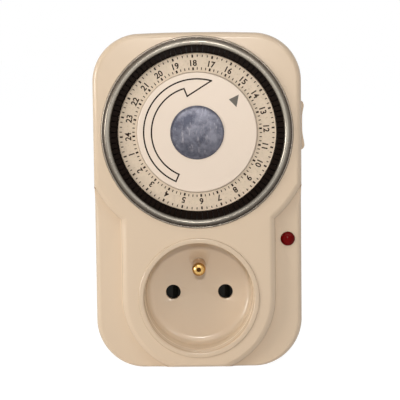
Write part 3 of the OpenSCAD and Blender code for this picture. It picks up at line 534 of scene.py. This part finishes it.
def neck_y(out):
    """Where the dial's round meets the neck."""
    return -math.sqrt((FACE_R + out) ** 2 - (NECK_HALF + out) ** 2)


def clip_x(out, e):
    """Where the socket's round meets the bottom edge."""
    return math.sqrt((NECK_HALF + max(out, 0)) ** 2 - (SOCKET_Y - BOTTOM_Y - FOOT * e) ** 2)


def top_corner(e):
    """Half the top edge and the corner after it."""
    xs = [CX * i / RUN_N for i in range(RUN_N)]
    edge = [(x, TOP_Y - BOW * (x / CX) ** 2 - e) for x in xs]
    return edge + arc((CX, CT), CORNER_R - e, 90, 0, ARC_N)


def low_corner(e, n):
    """The bottom corner; towards its lower end it runs into the straight foot."""
    return [(x, y - (BOW + (1 - FOOT) * e) * sine(90 * i / n) ** 2)
            for i, (x, y) in enumerate(arc((CX, CL), CORNER_R - e, 0, -90, n))]


def low_run(x, e):
    """Along the foot from x to the middle."""
    return [foot(x * i / RUN_N, e) for i in range(RUN_N, -1, -1)]


def side_part(out, e, low_e):
    """Down the case's side, round the corner and along the foot as far as the neck."""
    n, start = TURN_N + NECK_N + 1, shoulder_y(out, 0)
    drops = [(CL - start) * i / n for i in range(1, n)]
    side = [(HALF_W - e * eased(-d / SHOULDER_RUN), start + d) for d in drops]
    end = clip_x(out, low_e)
    shares = [i / (EDGE_N + 1) for i in range(1, EDGE_N + 1)]
    return side + low_corner(e, ROUND_N - 1 - EDGE_N) + [
        foot(CX + (end - CX) * t, e * (1 - t * t) + low_e * t * t) for t in shares]


def neck_part(out, e, low_e):
    """Round the dial to the neck, down it and round the socket to the foot."""
    a0 = math.atan2(shoulder_y(out, e), HALF_W - e)
    a1 = math.atan2(neck_y(out), NECK_HALF + out)
    a2 = -math.acos(clip_x(out, low_e) / (NECK_HALF + max(out, 0)))
    points = []
    for i in range(1, TURN_N + 1):
        a = a0 + (a1 - a0) * i / TURN_N
        points.append(((FACE_R + out) * math.cos(a), (FACE_R + out) * math.sin(a)))
    for i in range(1, NECK_N + 1):
        points.append((NECK_HALF + out, neck_y(out) + (SOCKET_Y - neck_y(out)) * i / NECK_N))
    for i in range(1, ROUND_N + 1):
        t = i / (ROUND_N + 1)
        r = NECK_HALF + (out if out > 0 else out * (1 - t * t))
        points.append((r * math.cos(a2 * t), SOCKET_Y + r * math.sin(a2 * t)))
    return points


def ring_of(parts):
    """A closed loop from the right half's parts, each of them (points, z)."""
    half = [(x, y, z) for part, z in parts for x, y in part]
    return half + [(-x, y, z) for x, y, z in half[-2:0:-1]]


def front_level(z, e, flank_z, out, side_e=None):
    """A loop of the front cover at z, with the part between shoulder and foot at flank_z.

    That part follows the case's side, side_e inside it, or else the keyhole.
    """
    low_e = e + lean(z)
    flank = neck_part(out, e, low_e) if side_e is None else side_part(out, side_e, low_e)
    upper = top_corner(e) + [(HALF_W - e, shoulder_y(out, e))]
    return ring_of([(upper, z), (flank, flank_z), (low_run(clip_x(out, low_e), low_e), z)])


def rear_level(z, e):
    return ring_of([(top_corner(e) + low_corner(e, ARC_N) + low_run(CX * 2 / 3, e), z)])


def loft(levels):
    """A skin over loops of as many points each, closed at both ends."""
    n, verts = len(levels[0]), [p for level in levels for p in level]
    faces = [tuple(range(n - 1, -1, -1)), tuple(range(len(verts) - n, len(verts)))]
    for j in range(0, len(verts) - n, n):
        for i in range(n):
            k = (i + 1) % n
            faces.append((j + i, j + k, j + n + k, j + n + i))
    return verts, faces


def plain_outline(e):
    """The case's outline without bow and foot, e inside its edge."""
    corners = [((CX, CT), 0), ((-CX, CT), 90), ((-CX, CL), 180), ((CX, CL), 270)]
    return [p for centre, a in corners for p in arc(centre, CORNER_R - e, a, a + 90, 24)]


# ---------------------------------------------------------------- front cover

EDGE_STEPS, WALL_RISE = 10, 1.6     # the wall at the top climbs so far while the sides round
LEVEL_GAP = 0.02                    # between levels whose upper part would coincide
# The slope round the raised face, as (out, height): a hollow foot, a short wall up to WALL_H,
# then a broad rounding that starts at BAND_OUT, goes in by BAND_W and begins with slope TILT
WALL_H, BAND_OUT, BAND_W, TILT, BAND_STEPS = 2.4, 1.42, 2.0, 1.1, 12
SLOPE = [(SLOPE_W, 0), (1.95, 0.04), (1.82, 0.14), (1.72, 0.35), (1.65, 0.8), (1.61, 1.6),
         (1.56, 2.1), (1.5, 2.32)]
for i in range(BAND_STEPS):
    t = i / BAND_STEPS
    SLOPE.append((BAND_OUT - BAND_W * t, WALL_H + TILT * BAND_W * (t - t * t / 2)))
SLOPE.append((BAND_OUT - BAND_W, SIDE_DROP))

levels = [front_level(PART_Z, CHAMFER, PART_Z, SLOPE_W, CHAMFER),
          front_level(PART_Z + CHAMFER, 0, PART_Z + CHAMFER, SLOPE_W, 0)]
for i in range(EDGE_STEPS + 1):
    bend = 90 * i / EDGE_STEPS
    levels.append(front_level(SIDE_Z - FRONT_ROUND + WALL_RISE * i / EDGE_STEPS, 0,
                              SIDE_Z - FRONT_ROUND * (1 - sine(bend)), SLOPE_W,
                              FRONT_ROUND * (1 - cosine(bend))))
for i, (out, h) in enumerate(SLOPE):
    bend = 90 * max(0, (h - WALL_H) / (SIDE_DROP - WALL_H))
    gap = 0 if bend else LEVEL_GAP * (len(SLOPE) - 1 - i)
    levels.append(front_level(FRONT_Z - FRONT_ROUND * (1 - sine(bend)) - gap,
                              FRONT_ROUND * (1 - cosine(bend)), SIDE_Z + h, out))

OVER = 1                                # cutters reach this far past what they open
DIAL_HOLE_R, BEZEL_R, BEZEL_SEAT = 31.5, 33.9, 1.6
LIP_R, LIP_T = 21.5, 1.2                # the socket insert's collar
LENS_AT, LENS_R = (31.8, -38.4), 2.55
SLIDER_SLOT = (-4.6, 7.4, 37.4, 42.6)   # y and z
ABOVE = FRONT_Z + 2 * OVER
moulded("front_shell", loft(levels), [
    prism(plain_outline(WALL), PART_Z - OVER, ROOF_Z),
    disc(DIAL_HOLE_R, ROOF_Z - OVER, ABOVE),
    disc(BEZEL_R + 0.1, FRONT_Z - BEZEL_SEAT, ABOVE),
    disc(LIP_R - 0.2, ROOF_Z - OVER, ABOVE, (0, SOCKET_Y)),
    disc(LIP_R + 0.03, FRONT_Z - LIP_T, ABOVE, (0, SOCKET_Y)),
    disc(LENS_R, ROOF_Z - OVER, SIDE_Z + 2 * OVER, LENS_AT, SMALL_ROUND),
    box(HALF_W - WALL - OVER, HALF_W + OVER, *SLIDER_SLOT),
], "front_cover")


# ---------------------------------------------------------------- rear cover

POST, SCREW_HOLE_R, SCREW_HOLE = 7.75, 2.9, 2.0     # screws: out from the corners' centres
PANEL_IN, PANEL_DEPTH = 6, 0.3                      # the sunk middle of the back
BOSS_R, BOSS_FLOOR, BOSS_WALL, BOSS_EDGE = 18.4, 4.0, 2.0, 1.0
PIN_X, PIN_R, PIN_GRIP = 9.5, 2.4, 0.25             # the plug's pins
PLUG_EARTH_Y, PLUG_EARTH_R = 10, 2.6
GROOVE_HALF, GROOVE_Z, GROOVE_IN, GROOVE_W = 3.2, 3, 1, 2   # keyways in the boss's round
HOLE_N = 64

levels = [rear_level(REAR_Z + REAR_ROUND * (1 - cosine(t)), REAR_ROUND * (1 - sine(t)))
          for t in range(0, 91, 9)]
levels += [rear_level(PART_Z - CHAMFER, 0), rear_level(PART_Z, CHAMFER)]
posts = [(x, y) for x in (-CX - POST, CX + POST) for y in (CT + POST, CL - POST)]
moulded("rear_shell", loft(levels), [
    prism(plain_outline(PANEL_IN), REAR_Z - OVER, REAR_Z + PANEL_DEPTH),
    prism(plain_outline(WALL), REAR_Z + WALL, PART_Z + OVER),
    disc(BOSS_R - 0.02, REAR_Z - OVER, REAR_Z + WALL + OVER),
    *[disc(SCREW_HOLE_R, REAR_Z - OVER, REAR_Z + SCREW_HOLE, at, HOLE_N) for at in posts],
], "rear_cover")

boss = [(0, 0)] + [(BOSS_R - BOSS_EDGE + BOSS_EDGE * sine(t), BOSS_EDGE * (1 - cosine(t)))
                   for t in range(0, 91, 15)]
boss += [(BOSS_R, REAR_Z + WALL), (BOSS_R - BOSS_WALL, REAR_Z + WALL),
         (BOSS_R - BOSS_WALL, BOSS_FLOOR), (0, BOSS_FLOOR)]
holes = [(PIN_R - PIN_GRIP, (PIN_X, 0)), (PIN_R - PIN_GRIP, (-PIN_X, 0)),
         (PLUG_EARTH_R, (0, PLUG_EARTH_Y))]
moulded("plug_boss", lathe(boss), [
    *[disc(r, -OVER, BOSS_FLOOR + OVER, at, HOLE_N) for r, at in holes],
    *[box(-GROOVE_HALF, GROOVE_HALF, y, y + GROOVE_W, GROOVE_Z, REAR_Z)
      for y in (BOSS_R - GROOVE_IN, -BOSS_R - GROOVE_IN)],
], "rear_cover")


# ---------------------------------------------------------------- ring and label

BEZEL_IN, BEZEL_FOOT_Z = 31.42, 57.5
# The bead: middle, half width, height, degrees of its round, points
BEAD_R, BEAD_Z, BEAD_HALF, BEAD_H, BEAD_TURN, BEAD_N = 31.85, 59.12, 1.29, 1.55, 163, 28
# The foot with its outer edge, a groove, the bead, and the lip over the ends of the tappets
bezel = [(BEZEL_IN, BEZEL_FOOT_Z), (33.85, BEZEL_FOOT_Z), (33.88, 59.2), (33.8, 59.42),
         (33.6, 59.5), (33.42, 59.42), (33.34, BEAD_Z), (33.14, BEAD_Z)]
for i in range(1, BEAD_N + 1):
    bead = BEAD_TURN * i / BEAD_N
    bezel.append((BEAD_R + BEAD_HALF * cosine(bead), BEAD_Z + BEAD_H * sine(bead)))
bezel += [(30.7, 59.52), (31.0, 59.5), (BEZEL_IN, 59.5)]
turned("bright_ring", bezel, "bezel_metal", closed=True, replaces=("bezel_ring",), sharp=50)

DISC_TOP, RING_TOP = 58.7, 57.9         # tops of the centre disc and of the number ring
LABEL_R, LABEL_T, LABEL_EDGE = 9.5, 0.12, 0.2
label = [(0, DISC_TOP), (LABEL_R, DISC_TOP), (LABEL_R, DISC_TOP + LABEL_T)]
label += arc((LABEL_R - LABEL_EDGE, DISC_TOP + LABEL_T), LABEL_EDGE, 0, 90, 6)[1:]
# The crowned rim and the field, as (in from the edge, height)
label += [(LABEL_R - inset, DISC_TOP + h)
          for inset, h in ((0.55, 0.30), (0.75, 0.20), (1.1, 0.20), (1.3, 0.26), (LABEL_R, 0.34))]
turned("label_plate", label, "label_metal", replaces=("center_label",), sharp=25)


# ---------------------------------------------------------------- socket and earth pin

FLOOR_Z, UNDER_Z = 44.0, 41.5
CUP_R, CUP_TOP_R = 20.6, 21.0           # outside of the cup, at its bottom and under the collar
COLLAR_UP, COLLAR_EDGE = 0.1, 0.4
MOUTH_R, MOUTH_EDGE, MOUTH_N = 20.15, 0.5, 10
CORE_R, CORE_FILLET = 19.2, 3.0         # inside of the cup near its floor
HOLE_R, EARTH_Y, SEAL_CUT = 2.7, -49.0, 0.36
cup = [(0, UNDER_Z), (CUP_R, UNDER_Z), (CUP_TOP_R, FRONT_Z - LIP_T), (LIP_R, FRONT_Z - LIP_T),
       (LIP_R, FRONT_Z + COLLAR_UP)]
cup += arc((LIP_R - COLLAR_EDGE, FRONT_Z + COLLAR_UP), COLLAR_EDGE, 0, 90, 8)[1:]
cup += arc((MOUTH_R, FRONT_Z), MOUTH_EDGE, 90, 180, MOUTH_N)
cup += [(19.56, 53.4), (19.44, 53.2), (CORE_R, FLOOR_Z + CORE_FILLET + 0.1)]
cup += arc((CORE_R - CORE_FILLET, FLOOR_Z + CORE_FILLET), CORE_FILLET, 0, -90, 16)
cup += [(0, FLOOR_Z)]
holes = [(HOLE_R, (-PIN_X, SOCKET_Y)), (HOLE_R, (PIN_X, SOCKET_Y)),
         (PIN_R + SEAL_CUT, (0, EARTH_Y))]
# The cup's recess takes the lighter recess plastic, painted light against its shade
moulded("socket_cup", lathe(cup, (0, SOCKET_Y), 240), [
    disc(r, UNDER_Z - OVER, FLOOR_Z + OVER, at, SMALL_ROUND) for r, at in holes
], "socket_insert", finish="recess_plastic", fillet=0.3)

TIP_Z, DOME, DOME_N, DIMPLE_R = 58.0, 2.05, 24, 0.9
FLANGE_R, FLANGE_Z = 3.9, 39
at_pin = {"centre": (0, EARTH_Y), "n": SMALL_ROUND}
pin = [(0, FLANGE_Z), (FLANGE_R, FLANGE_Z), (FLANGE_R, UNDER_Z), (PIN_R, UNDER_Z),
       (PIN_R, TIP_Z - DOME)]
for i in range(1, DOME_N):
    r, z = PIN_R * cosine(90 * i / DOME_N), TIP_Z - DOME + DOME * sine(90 * i / DOME_N)
    if r > DIMPLE_R:
        pin.append((r, z))
pin += [(0.82, TIP_Z - 0.2), (0.7, TIP_Z - 0.5), (0, TIP_Z - 0.6)]
# A thin brown disc in the dimple of the pin's tip: painted reflection of a dark surrounding in the
# dome
mark = [(0, TIP_Z - 0.62), (0.84, TIP_Z - 0.5), (0.84, TIP_Z - 0.46), (0, TIP_Z - 0.56)]
turned("earth_pin_mark", mark, "brass", centre=(0, EARTH_Y), n=48, finish="painted_pin_reflection")
turned("earth_pin_turned", pin, "brass", replaces=("earth_pin",), **at_pin)
SEAL_IN, SEAL_OUT, SEAL_Z = PIN_R + 0.03, PIN_R + 0.32, 41.6
seal = [(SEAL_IN, SEAL_Z), (SEAL_OUT, SEAL_Z), (SEAL_OUT, FLOOR_Z), (SEAL_IN, FLOOR_Z)]
# The seal takes the recess's lighter plastic, painted light like the recess
turned("earth_pin_seal", seal, "cover_plastic", closed=True, replaces=("earth_pin",),
       finish="recess_plastic", **at_pin)


# ---------------------------------------------------------------- override slider

KNOB_X, KNOB_Y, KNOB_Z, KNOB_HALF = HALF_W + 0.12, 1.4, 40.0, 4
# Its outline as (out from the case, up from its middle): two humps and a hollow between them
KNOB = [(0, -9), (0.55, -8.9), (1.2, -8.55), (1.62, -7.9), (1.75, -7.2), (1.66, -6.4),
        (1.36, -4.8), (1.08, -3.2), (0.96, -1.6), (0.95, 0), (0.95, 2.6), (1.0, 3.8),
        (1.15, 4.9), (1.38, 5.9), (1.55, 6.8), (1.5, 7.6), (1.15, 8.4), (0.55, 8.85), (0, 9)]
INNER_X = HALF_W - WALL


def block(x0, x1, y, z):
    """A block from x0 to x1 that reaches y and z to each side of the slider's middle."""
    return box(x0, x1, KNOB_Y - y, KNOB_Y + y, KNOB_Z - z, KNOB_Z + z)


knob = prism([(KNOB_X + x, KNOB_Y + y) for x, y in KNOB], KNOB_Z - KNOB_HALF, KNOB_Z + KNOB_HALF)
moulded("slider_knob", knob, [], "override_slider", "slider", fillet=0.35)
stem = block(INNER_X - 1.3, KNOB_X + 0.2, 3.8, 2.45)
catch = block(INNER_X - 1.3, INNER_X - 0.12, 6.2, 3.6)
make("slider_neck", joined(stem, catch), "cover_plastic", "slider",
     replaces=("override_slider",))


# ---------------------------------------------------------------- printing

PRINT_T = 0.02
DIAL_PHASE, HOUR_STEP, QUARTERS = 3.0, 15, 96       # 12 stands at DIAL_PHASE degrees
NUMBER_R, NUMBER_SIZE, NUMBER_BOLD = 24.3, 2.9, 0.08
# Ticks inside and outside the numbers, as (from r, to r, width)
HOUR_TICKS = ((21.9, 22.9, 0.64), (26.3, 27.35, 0.6))
QUARTER_TICKS = ((22.05, 22.9, 0.34), (26.55, 27.35, 0.34))
ARROW_OUT, ARROW_IN, ARROW_STROKE = 18.85, 16.1, 0.5
TAIL_DEG, TIP_DEG, HEAD_DEG, BARB = 246, 74, 106, (13.2, 104.7)
POINTER = [(11.29, 11.5), (13.94, 8.75), (14.8, 13.19)]


def lettering(text):
    """The mesh of one number, centred on its middle."""
    curve = bpy.data.curves.new("number", "FONT")
    curve.body, curve.size, curve.resolution_u = text, NUMBER_SIZE, 4
    curve.align_x, curve.align_y = "CENTER", "CENTER"
    curve.offset, curve.extrude = NUMBER_BOLD, PRINT_T / 2
    obj = bpy.data.objects.new("number", curve)
    scene.collection.objects.link(obj)
    deps = bpy.context.evaluated_depsgraph_get()
    mesh = bpy.data.meshes.new_from_object(obj.evaluated_get(deps))
    shape = [tuple(v.co) for v in mesh.vertices], [tuple(f.vertices) for f in mesh.polygons]
    bpy.data.objects.remove(obj)
    bpy.data.meshes.remove(mesh)
    return shape


def number(hour):
    """An hour's number in its place on the ring, its foot towards the axis."""
    deg = DIAL_PHASE + HOUR_STEP * (hour - 12)
    c, s = cosine(deg - 90), sine(deg - 90)
    x0, y0 = polar(NUMBER_R, deg)
    verts, faces = lettering(str(hour))
    z = RING_TOP + PRINT_T / 2
    return [(x0 + c * x - s * y, y0 + s * x + c * y, z + h) for x, y, h in verts], faces


def tick(deg, r0, r1, w):
    """A radial tick of width w on the number ring."""
    c, s = polar(1, deg)
    corners = ((r0, -w / 2), (r1, -w / 2), (r1, w / 2), (r0, w / 2))
    outline = [(c * r - s * t, s * r + c * t) for r, t in corners]
    return prism(outline, RING_TOP, RING_TOP + PRINT_T)


def line(points, w, z):
    """A printed line of one width through the points."""
    parts = []
    for (x0, y0), (x1, y1) in zip(points, points[1:]):
        d = math.hypot(x1 - x0, y1 - y0)
        u, v = (x1 - x0) / d * w / 2, (y1 - y0) / d * w / 2
        parts.append(prism([(x0 - u + v, y0 - v - u), (x1 + u + v, y1 + v - u),
                            (x1 + u - v, y1 + v + u), (x0 - u - v, y0 - v + u)], z, z + PRINT_T))
    return joined(*parts)


marks = [tick(DIAL_PHASE + q * 360 / QUARTERS, *row)
         for q in range(QUARTERS) for row in (QUARTER_TICKS if q % 4 else HOUR_TICKS)]
marks += [number(hour) for hour in range(1, 25)]
make("dial_print", joined(*marks), "dial_plastic", "dial", finish="ink")

arrow = arc((0, 0), ARROW_OUT, TAIL_DEG, TIP_DEG, 90) + [polar(*BARB)]
arrow += arc((0, 0), ARROW_IN, HEAD_DEG, TAIL_DEG, 70)
make("arrow_print", line(arrow + arrow[:1], ARROW_STROKE, DISC_TOP), "disc_plastic",
     finish="ink")
make("pointer_print", prism(POINTER, DISC_TOP, DISC_TOP + PRINT_T), "disc_plastic",
     finish="pointer_ink")


# ---------------------------------------------------------------- floor and world

AMBIENT, PALE = 0.22, 0.3
WHITE = (1, 1, 1, 1)
FLOOR_HALF, FLOOR_UNDER = 6.0, 0.0001       # in metres


def seen(tree):
    """1 for rays from the camera, and for those that show the background in gloss or glass."""
    path = tree.nodes.new("ShaderNodeLightPath")
    socket = path.outputs["Is Camera Ray"]
    for other in ("Is Glossy Ray", "Is Transmission Ray"):
        m = tree.nodes.new("ShaderNodeMath")
        m.operation = "MAXIMUM"
        tree.links.new(socket, m.inputs[0])
        tree.links.new(path.outputs[other], m.inputs[1])
        socket = m.outputs[0]
    return socket


def pick_seen(tree, plain, shown, out):
    """Give out the plain shader, and the shown one where it is seen."""
    pick = tree.nodes.new("ShaderNodeMixShader")
    for source, target in ((seen(tree), 0), (plain.outputs[0], 1), (shown.outputs[0], 2)):
        tree.links.new(source, pick.inputs[target])
    tree.links.new(pick.outputs[0], out.inputs["Surface"])


def stage_material():
    """White to the camera and in reflections, and it still takes the object's shadow."""
    g = Nodes("stage_white")
    g.tree.nodes.remove(g.shader)
    plain, pale = g.add("ShaderNodeBsdfDiffuse"), g.add("ShaderNodeBsdfDiffuse")
    tone = g.mix(g.span(g.noise(3, 2), 0, 1), (0.80, 0.79, 0.78), (0.84, 0.83, 0.82))
    g.link(tone, plain.inputs["Color"])
    pale.inputs["Color"].default_value = (PALE, PALE, PALE, 1)
    glow, both = g.add("ShaderNodeEmission"), g.add("ShaderNodeAddShader")
    glow.inputs["Color"].default_value = WHITE
    glow.inputs["Strength"].default_value = 1 - PALE * AMBIENT
    g.link(pale.outputs[0], both.inputs[0])
    g.link(glow.outputs[0], both.inputs[1])
    pick_seen(g.tree, plain, both, g.tree.nodes["Material Output"])
    return g.mat


def add_floor():
    r, z = FLOOR_HALF, BOTTOM_Y * MM - FLOOR_UNDER
    mesh = bpy.data.meshes.new("floor")
    mesh.from_pydata([(-r, -r, z), (r, -r, z), (r, r, z), (-r, r, z)], [], [(0, 1, 2, 3)])
    mesh.materials.append(stage_material())
    floor = bpy.data.objects.new("floor", mesh)
    scene.collection.objects.link(floor)


def add_world():
    """Soft ambient light on the object; plain white where it is seen."""
    world = bpy.data.worlds.new("world")
    scene.world = world
    world.use_nodes = True
    tree = world.node_tree
    tree.nodes.clear()
    grounds = []
    for colour, strength in (((0.96, 0.98, 1, 1), AMBIENT), (WHITE, 1.0)):
        ground = tree.nodes.new("ShaderNodeBackground")
        ground.inputs["Color"].default_value = colour
        ground.inputs["Strength"].default_value = strength
        grounds.append(ground)
    pick_seen(tree, *grounds, tree.nodes.new("ShaderNodeOutputWorld"))


add_floor()
add_world()


# ---------------------------------------------------------------- lamps

LAMP_AIM = (0, -0.05, -0.025)
WARM, NEUTRAL, COOL = (1, 0.97, 0.93), (1, 0.985, 0.95), (0.97, 0.98, 1)


def lamp(name, at, size, power, colour):
    light = bpy.data.lights.new(name, "AREA")
    light.energy, light.color, light.shape = power, colour, "RECTANGLE"
    light.size, light.size_y = size
    obj = bpy.data.objects.new(name, light)
    scene.collection.objects.link(obj)
    obj.location = at
    obj.rotation_euler = (Vector(LAMP_AIM) - Vector(at)).to_track_quat("-Z", "Y").to_euler()


lamp("front", CAMERA_AT + Vector((-0.01, 0, 0.07)), (0.03, 0.03), 0.88, WARM)
lamp("key", (-0.85, -0.42, -0.06), (0.30, 0.60), 7.6, NEUTRAL)
lamp("top", (-0.06, -0.58, 0.72), (0.60, 0.60), 1.9, NEUTRAL)
lamp("fill", (0.42, -0.62, 0.48), (0.10, 0.10), 0.45, COOL)
